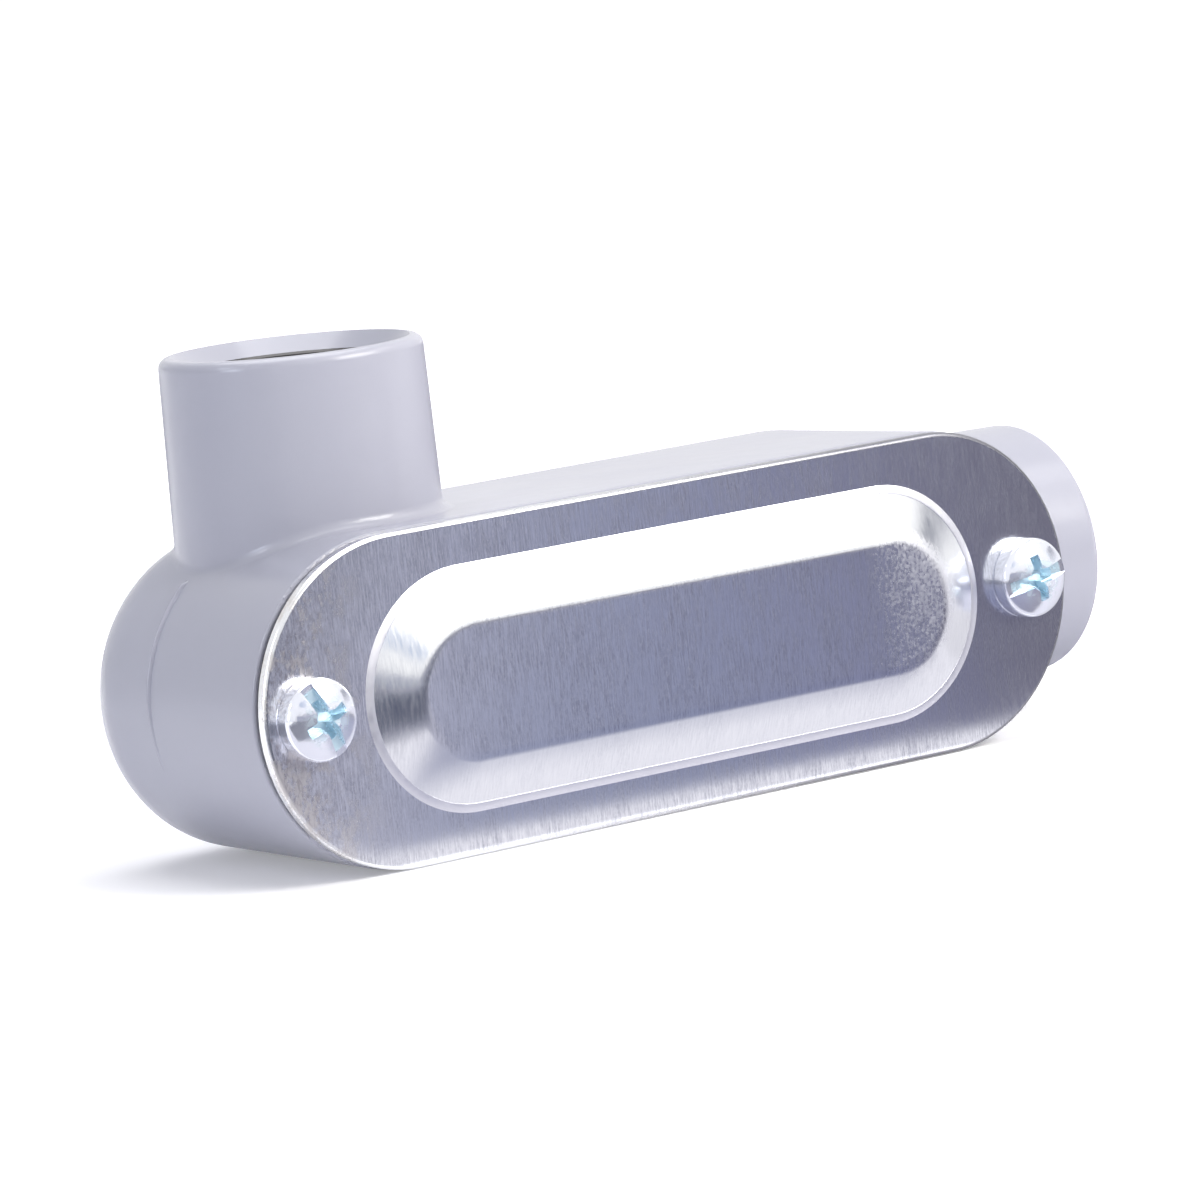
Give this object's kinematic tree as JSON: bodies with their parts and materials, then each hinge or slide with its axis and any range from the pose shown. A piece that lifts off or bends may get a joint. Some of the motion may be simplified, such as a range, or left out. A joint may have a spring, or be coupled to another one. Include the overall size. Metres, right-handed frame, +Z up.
{
  "type": "threaded conduit body",
  "caption": "Angled electrical conduit body with threaded hubs at one end and one side, and a gasketed access cover held by screws.",
  "frame": {"origin": "middle of the assembled part's outline in plan, on the level of its lowest edge, which is the long side away from the side hub", "axes": "+X along the body towards the end hub's mouth; +Y from the cover into the body, so the cover faces -Y; +Z up, along the side hub towards its mouth"},
  "size_m": [0.118, 0.041, 0.0537],
  "materials": {
    "casting": "satin",
    "gasket": "matte",
    "cover": "satin",
    "screws": "polished"
  },
  "bodies": {
    "housing": {"body": "casting", "gasket": "gasket", "cover": "cover"},
    "screw_left": {"screw_left": "screws"},
    "screw_right": {"screw_right": "screws"}
  },
  "joints": [
    {"name": "screw_left_back_out", "type": "slide", "parent": "housing", "child": "screw_left", "axis": [0, -1, 0], "range_m": [0, 0.0076]},
    {"name": "screw_right_back_out", "type": "slide", "parent": "housing", "child": "screw_right", "axis": [0, -1, 0], "range_m": [0, 0.0076]}
  ]
}
